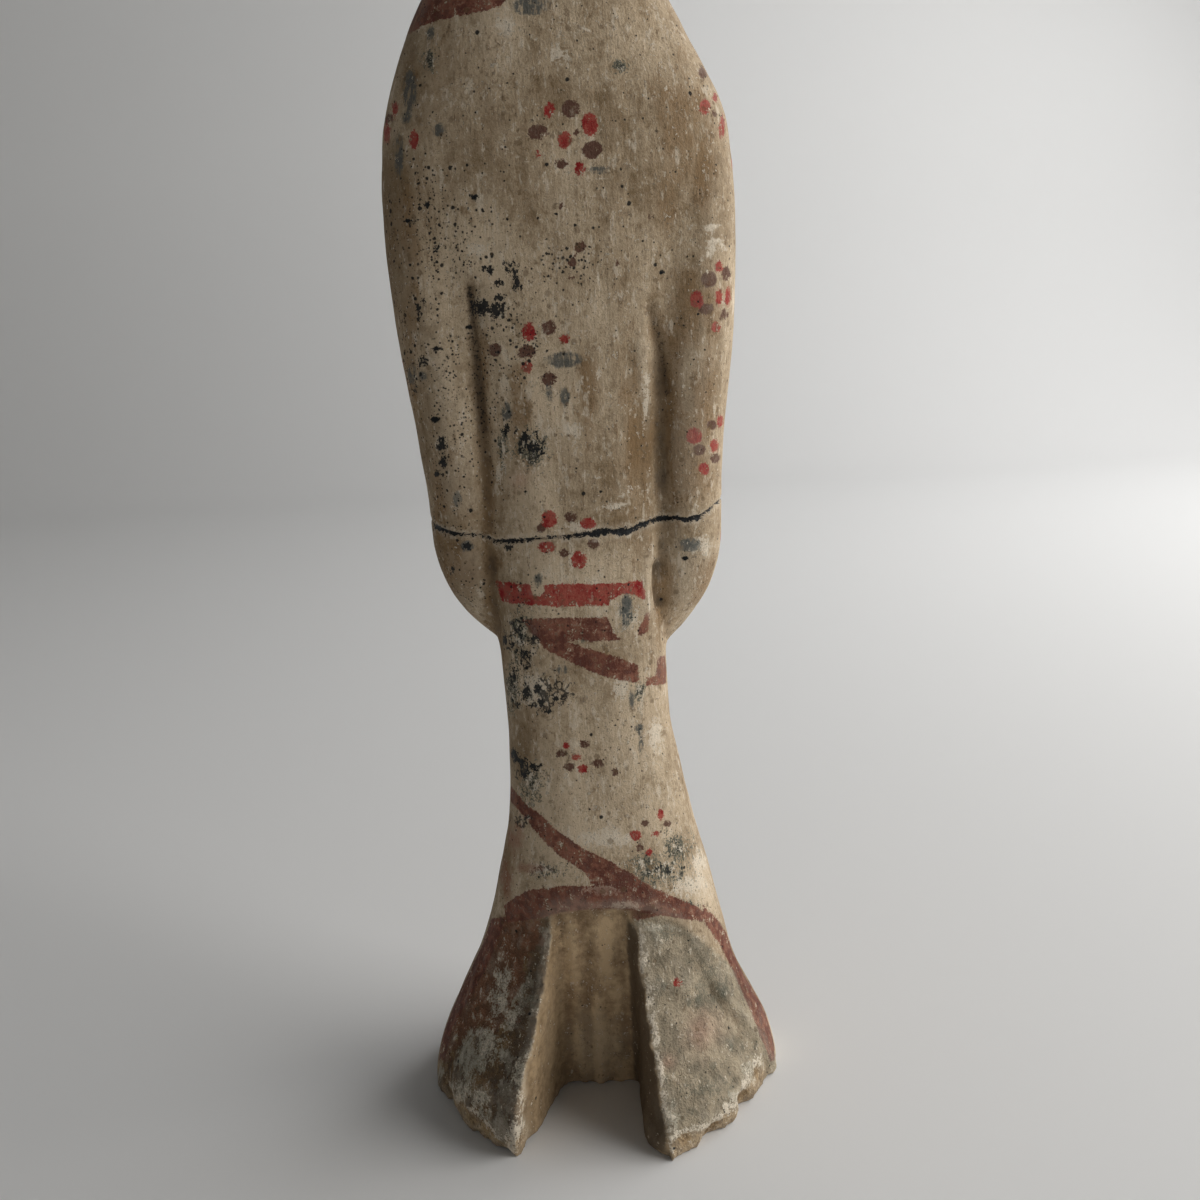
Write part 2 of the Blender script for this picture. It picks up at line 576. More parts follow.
BROWN_TOUCHES = (
    (571, 109, 8, 8), (577, 132, 3.2, 3.2), (592, 150, 9, 8), (561, 164, 6, 4.5), (538, 132, 9, 7),
    (580, 247, 6, 5), (561, 206, 3, 3), (617, 263, 3, 3), (571, 277, 3.5, 2.5), (572, 262, 4, 5),
    (651, 216, 2.4, 2.4), (549, 328, 7, 6.5), (527, 352, 8, 6), (549, 379, 7, 6), (495, 350, 6, 6),
    (571, 517, 5, 5), (564, 553, 5, 3.5), (593, 544, 5, 4.5), (541, 528, 4, 4), (390, 117, 3, 4),
    (387, 121, 2, 5), (703, 73, 3.5, 5.5), (714, 113, 2.5, 3), (709, 279, 7, 7), (726, 274, 4, 6),
    (706, 309, 7, 5), (725, 314, 3.6, 4.4), (721, 319, 2, 2), (712, 425, 4, 4.4), (699, 450, 6, 5),
    (715, 458, 4, 4.6), (597, 763, 6, 3.6), (569, 767, 5.5, 3.6), (561, 753, 6, 3.2),
    (615, 772, 3.6, 3.6), (584, 744, 4.5, 4), (645, 823, 3.3, 3.3), (667, 824, 3.2, 2.8),
    (640, 848, 3.6, 3.4))
GREY_STROKES = (
    (410, 92, 6, 20), (406, 117, 3.4, 6), (439, 130, 5.5, 6), (399, 155, 4, 18),
    (600, 170, 11, 3.2), (564, 360, 17, 7), (549, 392, 3, 8), (565, 397, 4, 9), (507, 412, 5, 8),
    (531, 5, 17, 9), (430, 33, 4, 6), (467, 546, 6, 5), (626, 610, 6, 14), (457, 500, 4, 7),
    (412, 374, 4, 9), (423, 376, 4, 4), (538, 580, 4, 6), (632, 700, 2.5, 7), (639, 728, 4, 4),
    (641, 742, 2, 11), (690, 545, 10, 6), (562, 670, 5, 4))
STRAY_DOTS = (
    (552, 246, 1.6, 1.6), (550, 249, 1.4, 1.4), (556, 247, 1.4, 1.4), (476, 130, 1.6, 1.6),
    (652, 216, 2.2, 2), (662, 272, 2.6, 2.8), (469, 327, 3, 3), (437, 349, 3, 3), (433, 339, 2, 2),
    (427, 206, 2.8, 2.8), (474, 198, 3.2, 3.2), (685, 558, 3, 2.4), (526, 493, 2.4, 2),
    (435, 420, 4, 3), (408, 221, 2.5, 2.5))
BRUSH_SPREAD = 1.13
ROSETTE_PETALS = 8
ROSETTE_RADIUS = 11.5
PETAL_RADIUS = 2.5
FRONT_ROSETTES = (
    (150, 322), (205, 300), (118, 300), (240, 285), (100, 345), (265, 330), (135, 232), (222, 236),
    (104, 215), (258, 200), (160, 190), (200, 178), (185, 125), (130, 98), (235, 112), (160, 66),
    (210, 52), (112, 46), (258, 62), (95, 268))


def touches(dots):
    """Distance from the nearest of some touches of the brush, negative inside one."""
    nearest = np.full(len(at), float(FAR_OFF))
    for across, down, wide, tall in dots:
        reach = np.hypot((spot[:, 0] - across) / wide, (spot[:, 1] - down) / tall)
        nearest = np.minimum(nearest, (reach - BRUSH_SPREAD) * min(wide, tall) * pixel)
    return nearest + hidden


red = np.minimum(red, touches(RED_TOUCHES))
brown = touches(BROWN_TOUCHES)
grey = touches(GREY_STROKES)
black = touches(STRAY_DOTS)

brush = np.random.default_rng(7)
for turn, level in FRONT_ROSETTES:
    way = np.array([math.sin(math.radians(turn)), math.cos(math.radians(turn))])
    near = np.abs(z - level) < 3
    ahead = np.where(near, x * way[0] + y * way[1] - 3 * np.abs(x * way[1] - y * way[0]), -1e9)
    middle = at[np.argmax(ahead)]
    normal = out[np.argmax(ahead)]
    side = np.cross((0, 0, 1), normal)
    side /= np.linalg.norm(side)
    rise = np.cross(normal, side)
    offset = at - middle
    for k in range(ROSETTE_PETALS + 1):
        swing = 2 * math.pi * k / ROSETTE_PETALS + brush.normal(0, 0.12)
        reach = 0 if k == ROSETTE_PETALS else ROSETTE_RADIUS * brush.uniform(0.82, 1.1) * 0.75
        heart = side * math.cos(swing) * reach + rise * math.sin(swing) * reach
        wide, tall = PETAL_RADIUS * brush.uniform(0.65, 1.15, 2)
        arm = offset - heart
        away = np.sqrt((arm @ side / wide) ** 2 + (arm @ rise / tall) ** 2
                       + (arm @ normal / (3 * wide)) ** 2)
        dot = (away - 1) * min(wide, tall)
        if k % 2 and k != ROSETTE_PETALS:
            brown = np.minimum(brown, dot)
        else:
            red = np.minimum(red, dot)
painted_places = {"red": red, "brown": brown, "maroon": maroon, "smear": smear, "grey": grey,
                  "black": black}
for name, distance in painted_places.items():
    keep(name, distance)
keep("gap", np.abs(break_gap) - break_width + (1 - near_break) * 20)


# Burial left black crusts that broke into flakes, black specks, grey-green patches, brown stains
# in streaks, and pale places where the slip was rubbed away. A patch is listed with its place in
# the photograph and its half sizes, all in pixels.
BLACK_CRUSTS = (
    (489, 269, 9, 7), (511, 268, 10, 8), (517, 282, 6, 11), (497, 283, 6, 6), (482, 308, 15, 13),
    (497, 311, 14, 12), (499, 297, 8, 5), (419, 311, 4, 13), (424, 302, 3, 6), (469, 327, 3, 3),
    (507, 429, 6, 8), (516, 430, 5, 8), (525, 438, 6, 11), (533, 447, 9, 5), (543, 454, 6, 3),
    (521, 452, 3, 5), (536, 436, 3, 5), (441, 445, 6, 12), (443, 463, 6, 9), (437, 474, 3, 5),
    (523, 652, 6, 5), (530, 657, 5, 4), (537, 688, 5, 9), (514, 674, 4, 9), (531, 706, 6, 4),
    (556, 699, 7, 4), (521, 761, 10, 6), (536, 767, 11, 6), (514, 755, 6, 9), (524, 775, 8, 4),
    (512, 645, 4, 5), (505, 640, 3, 7), (509, 547, 6, 5), (416, 388, 3, 8), (422, 361, 8, 6),
    (435, 349, 5, 4), (436, 251, 4, 6), (439, 243, 4, 4), (414, 222, 5, 5), (427, 205, 4, 4),
    (474, 197, 5, 6), (467, 546, 7, 5), (453, 570, 3, 5), (562, 698, 5, 3), (526, 694, 6, 9),
    (548, 712, 8, 4), (541, 703, 5, 5), (519, 704, 4, 6))
CRACKLED = (
    (517, 632, 18, 32), (548, 692, 32, 30), (525, 660, 12, 22), (523, 770, 24, 14),
    (532, 440, 20, 18), (520, 820, 16, 10), (545, 702, 26, 20), (662, 868, 20, 10),
    (530, 640, 16, 16))
GREEN_PATCHES = (
    (664, 869, 30, 15), (678, 849, 18, 20), (646, 862, 20, 10), (532, 782, 16, 24),
    (545, 870, 20, 9), (513, 690, 10, 26), (530, 445, 22, 22), (503, 446, 8, 22),
    (627, 612, 9, 16), (710, 990, 22, 26), (708, 1088, 28, 12), (560, 953, 9, 12),
    (536, 1000, 9, 12), (470, 1060, 16, 20), (640, 690, 8, 12), (560, 640, 8, 6),
    (520, 635, 12, 30), (600, 1068, 26, 8), (745, 960, 10, 14), (690, 545, 14, 8),
    (430, 60, 8, 16), (662, 934, 16, 8), (690, 905, 8, 5), (620, 66, 12, 8), (585, 640, 6, 5))
PALE_PATCHES = (
    (627, 613, 18, 18), (617, 507, 13, 5), (622, 494, 5, 6), (578, 527, 26, 7),
    (700, 228, 12, 2.5), (716, 240, 11, 3), (710, 252, 6, 8), (478, 250, 14, 9), (500, 466, 6, 26),
    (500, 1000, 12, 26), (486, 1048, 14, 22), (520, 1075, 9, 26), (462, 1088, 12, 16),
    (556, 975, 5, 30), (548, 1040, 5, 30), (572, 432, 14, 14), (620, 690, 10, 16),
    (655, 735, 8, 26), (690, 884, 26, 12), (604, 890, 22, 8), (535, 690, 20, 26),
    (610, 838, 40, 14), (505, 25, 14, 14), (560, 55, 14, 12), (503, 977, 11, 22),
    (470, 1055, 15, 24), (655, 928, 30, 6), (752, 1070, 10, 18), (735, 1098, 12, 9),
    (668, 1118, 10, 16), (480, 1098, 14, 9), (587, 470, 3, 14), (600, 372, 4, 18),
    (646, 400, 5, 40), (700, 545, 16, 12), (540, 868, 14, 10), (620, 905, 24, 5),
    (700, 862, 12, 16), (512, 1020, 9, 14), (524, 1130, 9, 14), (596, 1050, 34, 36))
BROWN_STAINS = (
    (678, 130, 26, 70), (668, 200, 14, 60), (690, 300, 26, 46), (640, 440, 20, 80),
    (520, 410, 18, 60), (455, 560, 14, 40), (665, 590, 12, 40), (672, 430, 12, 120),
    (648, 440, 9, 90), (484, 360, 8, 90), (488, 510, 9, 110), (707, 590, 16, 30),
    (704, 400, 14, 60), (600, 660, 30, 14), (696, 480, 20, 30), (704, 170, 16, 60),
    (680, 120, 24, 50), (674, 104, 16, 26), (664, 110, 12, 40), (412, 330, 10, 130),
    (405, 215, 12, 70), (590, 385, 16, 60), (440, 500, 12, 50), (470, 580, 12, 30),
    (505, 860, 10, 60))
TAIL_TOP = ((488, 962), (498, 916), (530, 914), (562, 912), (566, 940), (548, 990), (500, 990))
LIGHT_FIELDS = (
    (610, 50, 90, 60), (560, 140, 60, 50), (640, 250, 60, 50), (610, 310, 50, 40),
    (540, 400, 40, 40), (545, 480, 40, 50), (600, 575, 60, 34), (650, 700, 30, 60),
    (600, 835, 60, 30), (470, 250, 30, 30), (505, 30, 30, 40), (690, 880, 26, 24))
DARK_FIELDS = (
    (402, 240, 18, 110), (424, 440, 14, 90), (445, 575, 18, 40), (410, 90, 16, 50),
    (522, 745, 16, 40), (500, 640, 12, 50))
PINK_STAINS = ((700, 1032, 15, 17), (520, 480, 8, 8), (668, 1062, 8, 8))
RUBBED_RED = ((515, 840, 9, 18), (506, 880, 9, 26), (528, 868, 22, 6), (603, 892, 22, 6))
SCRATCHES = (
    ((690, 229), (708, 226), (722, 224)), ((699, 228), (716, 232)), ((703, 255), (722, 236)),
    ((700, 262), (712, 252), (728, 241)), ((714, 246), (727, 250)),
    ((500, 8), (520, 30), (541, 42)), ((541, 42), (552, 58), (560, 74)),
    ((546, 22), (575, 24), (600, 36)), ((470, 30), (505, 26)),
    ((500, 146), (530, 164), (545, 184)), ((497, 140), (512, 152)), ((582, 175), (614, 181)),
    ((636, 400), (650, 380)), ((600, 365), (603, 392)), ((585, 470), (588, 500)),
    ((608, 500), (630, 496)), ((612, 508), (628, 503)), ((648, 590), (650, 612)),
    ((570, 250), (576, 270)), ((596, 262), (600, 290)), ((692, 330), (695, 362)))
SPECK_FIELDS = (
    (422, 212, 40, 50), (440, 255, 40, 40), (408, 330, 22, 110), (445, 430, 24, 100),
    (486, 380, 18, 80), (520, 330, 24, 40), (412, 470, 20, 60), (520, 645, 14, 50),
    (570, 262, 22, 18), (470, 590, 24, 20))


def patches(dots, wander=0.5):
    """Soft patches with wandering edges: one in the middle of a patch, and nothing outside."""
    deepest = np.zeros(len(at))
    loose = wander * (mottle(at, 9, 90) + 0.6 * mottle(at * (1, 1, 0.5), 4, 91))
    for across, down, wide, tall in dots:
        reach = ((spot[:, 0] - across) / wide) ** 2 + ((spot[:, 1] - down) / tall) ** 2
        deepest = np.maximum(deepest, np.exp(-reach * (1 + loose)))
    return deepest * ease(facing, 0.0, 0.2)


def unseen_patches(seed, share, size, stretch=1.0):
    """Patches of the same kind for the sides that the photograph doesn't show."""
    unseen = 1 - ease(facing, 0.0, 0.25)
    drawn_out = at * (1, 1, stretch)
    cover = mottle(drawn_out, size, seed) + 0.6 * mottle(drawn_out, size / 2.7, seed + 1)
    cover += 0.4 * mottle(drawn_out, size / 7, seed + 2)
    return ease(cover, share, share + 0.9) * unseen


below_head = ease(z, 412, 402)
crusts = np.maximum(patches(BLACK_CRUSTS, 0.3), 0.8 * unseen_patches(71, 0.95, 26))
cracks = np.maximum(patches(CRACKLED), 0.8 * unseen_patches(74, 0.75, 40))
greens = np.maximum(patches(GREEN_PATCHES), 0.8 * unseen_patches(78, 0.6, 30))
keep("crust", crusts * below_head)
keep("crackled", cracks * below_head)
keep("green", greens * below_head)
keep("pale", np.maximum(patches(PALE_PATCHES), 0.85 * unseen_patches(82, 0.35, 26, 0.5)))
keep("stain", np.maximum(patches(BROWN_STAINS, 0.7), 0.9 * unseen_patches(86, 0.0, 40, 0.3)))
keep("specks", np.maximum(patches(SPECK_FIELDS, 0.2), 0.5 * unseen_patches(92, 0.3, 50)))
light_dark = 0.55 * mottle(at, 40, 95) + 0.35 * mottle(at * (1, 1, 0.5), 13, 96)
light_dark += 0.25 * mottle(at * (1, 1, 0.4), 5, 97)
light_dark += 0.75 * patches(LIGHT_FIELDS, 0.3) - 0.8 * patches(DARK_FIELDS, 0.3)
keep("tone", light_dark)
keep("streak", 0.6 * mottle(at * (1, 1, 0.12), 7, 98) + 0.4 * mottle(at * (1, 1, 0.1), 3.4, 99))
scratches = np.min([line_distance(spot, scratch) for scratch in SCRATCHES], axis=0)
keep("scratch", scratches * pixel + hidden)
keep("pink", np.maximum(cheeks, patches(PINK_STAINS)))
keep("rubbed_red", patches(RUBBED_RED))
keep("bare", bare)
keep("shaded", bare * ease(out[:, 0], 0.3, 0.6) * ease(x, -4, -8))
keep("plain_wall", bare * ease(-out[:, 0], 0.3, 0.6))
tail_top = outline_distance(spot, TAIL_TOP) * pixel + hidden
keep("tail", np.maximum(tail, ease(tail_top, 0.8, -0.8)))
keep("broken", foot_break)
keep("rim", np.maximum(foot_rim, edge_crumbs))
keep("left_tail", ease(x, -6, 10))
keep("tail_dark", bump(left_edge - 16, 15) * tail * ease(x, 0, 10))
cuts = np.minimum(line_distance(spot, LEFT_CUT), line_distance(spot, RIGHT_CUT) + 1.5)
keep("cut", cuts * pixel + hidden)

# How far a point lies below the calmed skin around it says where dirt gathers.
HOLLOW_ROUNDS = 12
ends = np.empty(len(lady.data.edges) * 2, np.int32)
lady.data.edges.foreach_get("vertices", ends)
ends = ends.reshape(-1, 2)
joined = np.bincount(ends.ravel(), minlength=len(at)) + 1
calm = at.copy()
for _ in range(HOLLOW_ROUNDS):
    total = calm.copy()
    np.add.at(total, ends[:, 0], calm[ends[:, 1]])
    np.add.at(total, ends[:, 1], calm[ends[:, 0]])
    calm = total / joined[:, None]
keep("hollow", np.sum((calm - at) * out, axis=1))


# Her skin of slip and paint is one finish. White slip was brushed over tan clay in long strokes,
# the colours were laid on it dry, and dirt sits in everything that is rough or low.
class Tint:
    """One socket of the finish, as a number, a colour or a place. Sums with it add Math nodes."""

    def __init__(self, socket):
        self.socket = socket

    @staticmethod
    def add(kind, values, output=0, **settings):
        """A node of any type: its settings first, and then its sockets' values or links."""
        made = finish.nodes.new(kind)
        for name, value in settings.items():
            setattr(made, name, value)
        for name, value in values.items():
            if isinstance(value, Tint):
                finish.links.new(value.socket, made.inputs[name])
            else:
                made.inputs[name].default_value = value
        return Tint(made.outputs[output]) if made.outputs else None

    def beside(self, output):
        """Another output of the same node."""
        return Tint(self.socket.node.outputs[output])

    def sum(self, operation, other):
        return Tint.add("ShaderNodeMath", {0: self, 1: other}, operation=operation)

    def __add__(self, other):
        return self.sum("ADD", other)

    __radd__ = __add__

    def __mul__(self, other):
        return self.sum("MULTIPLY", other)

    __rmul__ = __mul__

    def __sub__(self, other):
        return self.sum("SUBTRACT", other)

    def __rsub__(self, other):
        return (self * -1) + other

    def at_least(self, other):
        return self.sum("MAXIMUM", other)


SLIP_LIGHT = (0.65, 0.52, 0.365, 1)
SLIP_DARK = (0.235, 0.160, 0.086, 1)
SLIP_PALE = (0.76, 0.67, 0.54, 1)
STAIN = (0.24, 0.145, 0.066, 1)
BROWN = (0.135, 0.085, 0.043, 1)
TAN_CLAY = (0.43, 0.305, 0.175, 1)
TAN_DARK = (0.235, 0.160, 0.088, 1)
WALL_CLAY = (0.58, 0.42, 0.25, 1)
WALL_DARK = (0.25, 0.165, 0.092, 1)
GRIME = (0.075, 0.055, 0.036, 1)
SOOT = (0.010, 0.011, 0.012, 1)
GREEN_GREY = (0.130, 0.135, 0.102, 1)
RED_DEEP = (0.27, 0.014, 0.015, 1)
RED_THIN = (0.42, 0.105, 0.075, 1)
MAROON_DEEP = (0.120, 0.037, 0.026, 1)
MAROON_THIN = (0.29, 0.112, 0.072, 1)
BROWN_PAINT = (0.115, 0.054, 0.037, 1)
GREY_PAINT = (0.095, 0.100, 0.092, 1)
TAIL_LIGHT = (0.45, 0.37, 0.26, 1)
TAIL_GREY = (0.22, 0.185, 0.13, 1)
TAIL_DARK = (0.10, 0.072, 0.048, 1)
TAIL_ASH = (0.46, 0.42, 0.33, 1)
SKIN_PALE = (0.66, 0.545, 0.42, 1)
BLUSH = (0.62, 0.33, 0.24, 1)
LIP_RED = (0.45, 0.035, 0.03, 1)
HAIR_BLACK = (0.016, 0.014, 0.013, 1)

CLOUD_CONTRAST = 6.5

coat = bpy.data.materials.new("painted_slip")
coat.use_nodes = True
finish = coat.node_tree
finish.nodes.clear()


def stored(name):
    """A value that the skin carries at its points."""
    return Tint.add("ShaderNodeAttribute", {}, output=2, attribute_name=name)


def scaled(by):
    """Place on the lady in millimetres, drawn out or squeezed along each way."""
    here = Tint.add("ShaderNodeTexCoord", {}, output=3)
    return Tint.add("ShaderNodeVectorMath", {0: here, 1: tuple(MM * v for v in by)},
                    operation="MULTIPLY")


def cloud(where, size, detail=3.0, roughness=0.55):
    """Soft noise from -1 to 1 whose patches are about a size in millimetres."""
    seen = Tint.add("ShaderNodeTexNoise", {"Vector": where, "Scale": 1 / size, "Detail": detail,
                                           "Roughness": roughness})
    return (seen - 0.5) * CLOUD_CONTRAST


def step(value, start, end):
    """Nothing at the start and one at the end."""
    return Tint.add("ShaderNodeMapRange", {0: value, 1: start, 2: end, 3: 0.0, 4: 1.0},
                    interpolation_type="SMOOTHSTEP")


def blend(factor, under_colour, over_colour):
    """One colour over another by a factor."""
    return Tint.add("ShaderNodeMix", {0: factor, 6: under_colour, 7: over_colour}, output=2,
                    data_type="RGBA")


def layered(ground, *layers):
    """A ground colour with others laid over it in turn, each by its own factor."""
    for factor, over_colour in layers:
        ground = blend(factor, ground, over_colour)
    return ground


plain = scaled((1, 1, 1))
brushed = scaled((1, 1, 0.10))
small = cloud(plain, 3.0, 4, 0.68)
grain = cloud(plain, 0.75, 2, 0.7)
strokes = cloud(brushed, 1.1, 3, 0.65)
flake = cloud(scaled((1, 1, 0.55)), 1.9, 4, 0.75)
tone = stored("tone")
streak = stored("streak")

# Slip over clay: lighter and darker in clouds and strokes, stained brown in streaks, rubbed pale.
broad = cloud(plain, 9.0, 4, 0.62)
blotch = cloud(scaled((1, 1, 0.7)), 4.6, 4, 0.66)
clouded = tone + small * 0.40 + blotch * 0.34 + strokes * 0.09 + grain * 0.18
stained = stored("stain") + streak * 0.35 + blotch * 0.25 + small * 0.15 + strokes * 0.12
chalk = cloud(scaled((1, 1, 0.36)), 2.6, 3, 0.66)
pale = step(stored("pale") + small * 0.26 + strokes * 0.18 + grain * 0.14, 0.55, 0.80)
greened = stored("green") + small * 0.34 + grain * 0.30 + flake * 0.26
green = step(greened, 0.50, 0.85)
scratched = stored("scratch") + grain * 0.15 + small * 0.10
colour = layered(
    blend(step(clouded, -1.15, 1.05), SLIP_DARK, SLIP_LIGHT),
    (step(stained, 0.20, 1.05) * 0.80, STAIN),
    (step(strokes + grain * 0.4 + streak * 0.4, 0.45, 1.6) * 0.24, BROWN),
    (step(streak + strokes * 0.5 + small * 0.3 + blotch * 0.2, -0.1, 1.3) * 0.42, STAIN),
    (step(blotch + small * 0.6 - tone * 0.3, 0.45, 1.4) * 0.40, BROWN),
    (step(flake + strokes * 0.35 - tone * 0.2, 0.65, 1.3) * 0.5, BROWN),
    (step(chalk + small * 0.2 + tone * 0.3, 0.45, 1.25) * 0.50, SLIP_PALE),
    (step(chalk * -1 + small * 0.3 - tone * 0.3, 0.55, 1.35) * 0.42, BROWN),
    (pale * 0.72, SLIP_PALE),
    (step(flake * -1 + strokes * 0.3 + tone * 0.2, 0.65, 1.15) * 0.55, SLIP_PALE),
    (step(grain + small * 0.3, 0.50, 1.4) * 0.55, GRIME),
    (green * 0.86, GREEN_GREY),
    (step(greened, 0.90, 1.15) * 0.75, SOOT),
    (step(stored("green") * 0.7 - flake * 0.5 + grain * 0.2, 0.75, 0.95) * 0.8, SLIP_PALE),
    (step(scratched, 0.62, 0.15) * step(small, -1.1, 0.2) * 0.8, SLIP_PALE))

# Tempera: bands, dots and strokes with frayed edges, thin in places and flecked with lost paint.
fray = small * 0.28 + grain * 0.22 + flake * 0.12
flecks = step(flake * 0.85 + grain * 0.60 + small * 0.35, 0.86, 1.04)
worn = 1 - flecks


def painted(name, soft=0.2, kept=worn):
    """Where a colour lies, with a frayed edge and the flecks that have come off."""
    return step(stored(name) + fray, soft, -soft) * kept


maroon_paint = blend(step(small + blotch * 0.6 + tone * 0.4, -0.7, 1.0), MAROON_DEEP, MAROON_THIN)
red_paint = blend(step(small + blotch * 0.6 + tone * 0.4, -0.8, 0.9), RED_DEEP, RED_THIN)
thinned = 0.97 - step(small + grain * 0.4, 0.35, 1.1) * 0.4
laid = painted("red").at_least(painted("maroon"))
colour = layered(
    colour,
    (step(stored("rubbed_red") + small * 0.30 + flake * 0.15, 0.25, 0.95) * 0.55, MAROON_THIN),
    (painted("maroon") * thinned * (1 - pale * 0.4), maroon_paint),
    (painted("brown") * (0.97 - step(small, 0.2, 1.0) * 0.35), BROWN_PAINT),
    (painted("red") * (1 - step(small * -1 + flake * 0.4, 0.55, 1.3) * 0.4), red_paint),
    (painted("grey", 0.4) * step(strokes + small, -1.6, 0.2) * 0.92, GREY_PAINT),
    (laid * step(small + blotch * 0.7 + flake * 0.3, 0.1, 1.2) * 0.42, GRIME))

# Tails: rough and weathered. The left one is smeared dark under an ash-grey crust, and the right
# one is pale grey.
right_tail = layered(
    blend(step(broad * 0.6 + blotch * 0.45 + grain * 0.15, -0.9, 0.8), TAIL_GREY, TAIL_LIGHT),
    (step(broad * -0.7 + blotch * 0.5, 0.35, 1.1) * 0.6, GREEN_GREY))
ash = cloud(scaled((1, 1, 0.55)), 7.0, 4, 0.62)
left_tail = layered(
    blend(step(blotch * 0.8 + small * 0.5 + flake * 0.3, -0.8, 0.9), TAIL_DARK, STAIN),
    (step(ash + small * 0.25 + grain * 0.2, 0.15, 0.6) * 0.9, TAIL_ASH),
    (step(ash + flake * 0.4 + grain * 0.2, 0.8, 1.2) * 0.7, SLIP_PALE),
    (step(stored("tail_dark") + small * 0.3, 0.3, 0.8) * 0.6, TAIL_DARK))
smeared = step(stored("smear") + blotch * 2.4 + small * 1.6 + flake * 0.9 + 0.9, 1.4, -1.0)
rusty = blend(0.35, maroon_paint, STAIN)
paled = stored("pale") + blotch * 0.3
tails = layered(
    blend(stored("left_tail"), right_tail, left_tail),
    (smeared * 0.82, rusty),
    (step(paled + small * 0.30 + grain * 0.2, 0.45, 0.85) * 0.85, TAIL_ASH),
    (step(paled + small * 0.40 + grain * 0.3, 0.85, 1.2) * 0.8, SLIP_PALE),
    (step(flake * -0.8 + small * 0.4 + blotch * 0.4, 0.7, 1.15) * 0.75, SLIP_PALE),
    (step(flake + grain * 0.5 - blotch * 0.3, 0.6, 1.4) * 0.7, GRIME),
    (painted("maroon") * 0.85, maroon_paint),
    (painted("red"), red_paint),
    (green * 0.5, GREEN_GREY))
hollow = stored("hollow")
fluted = step(streak * 1.7 + small * 0.30 + blotch * 0.25 + hollow * 0.6, -0.5, 0.9)
plain_clay = blend(step(small * 0.6 + blotch * 0.4, -1.0, 1.0), TAN_CLAY, SLIP_DARK)
clay = layered(
    blend(fluted, WALL_CLAY, WALL_DARK),
    (step(stored("pale") + small * 0.2, 0.1, 0.9) * 0.45, TAIL_LIGHT),
    (step(flake + streak * 0.6, 0.45, 1.3) * 0.6, GRIME),
    (step(flake * -1 + small * 0.3, 0.8, 1.2) * 0.5, SLIP_PALE),
    (stored("plain_wall") * 0.8, plain_clay),
    (stored("shaded") * 0.85, GRIME))
foot_clay = layered(
    blend(step(small + flake * 0.5, -0.5, 0.5), TAN_DARK, TAN_CLAY),
    (step(flake * -1 + grain * 0.4, 0.3, 1.0) * 0.7, SLIP_LIGHT))
rim = stored("rim") + small * 0.50 + flake * 0.35 + grain * 0.2
colour = layered(
    colour,
    (stored("tail"), tails),
    (stored("bare"), clay),
    (stored("broken"), foot_clay),
    (step(rim, 0.62, 0.86) * 0.85, SLIP_PALE),
    (step(stored("rim") * 0.7 + flake * 0.55, 0.85, 1.2) * 0.8, GRIME))

# Face, neck and hair.
skin = stored("skin")
face_slip = blend(step(tone + small * 0.3, -0.9, 0.9), SLIP_LIGHT, SKIN_PALE)
line_fray = grain * 0.06 + small * 0.04
colour = layered(
    colour,
    (skin * 0.75, face_slip),
    (stored("pink") * 0.30, BLUSH),
    (painted("eye_white", 0.12) * 0.5, SLIP_PALE),
    (painted("eye_heart", 0.12, 1.0) * 0.95, HAIR_BLACK),
    (step(stored("lips") + line_fray * 1.5, 0.25, -0.25) * 0.85, LIP_RED),
    (step(stored("brow") + line_fray, 0.22, -0.12) * 0.85, HAIR_BLACK),
    (step(stored("eye_line") + line_fray, 0.22, -0.12) * 0.9, HAIR_BLACK))
comb = stored("comb") + small * 0.16
combing = Tint.add("ShaderNodeMath", {0: comb * 3.9 + small * 0.5}, operation="SINE")
hair_worn = 1 - step(flake + small * 0.4, 1.0, 1.2) * 0.85
on_hair = step(stored("hair") + fray * 0.8, 0.25, -0.25)
hair_colour = layered(
    HAIR_BLACK,
    (step(combing + small, 0.2, 1.6) * 0.28, BROWN),
    (step(tone + small * 0.5, 0.35, 0.95) * 0.35, STAIN))
colour = blend(on_hair * hair_worn, colour, hair_colour)

# Dirt: brown then black in hollows, rubbed pale on what stands out, specks, flakes and crackle.
open_skin = 1 - stored("bare") * 0.8
uneven = (small * 0.22 + blotch * 0.16 + flake * 0.12) * (1 - skin * 0.6)
rubbed = step(hollow + small * 0.10 + grain * 0.06, -0.10, -0.42) * open_skin
cut = stored("cut") + small * 0.7 + grain * 0.4 + flake * 0.4
colour = layered(
    colour,
    (step(hollow + uneven, 0.10, 0.65) * open_skin * 0.5, BROWN),
    (step(hollow + uneven, 0.50, 1.25) * open_skin * 0.65, GRIME),
    (rubbed * (1 - on_hair) * (1 - skin) * 0.15, SLIP_PALE),
    (step(cut + blotch * 0.5, 3.0, 0.3) * 0.60, BROWN),
    (step(cut, 1.3, 0.0) * 0.60, GRIME),
    (step(cut + blotch * 0.4, 0.5, -0.3) * 0.70, SOOT))


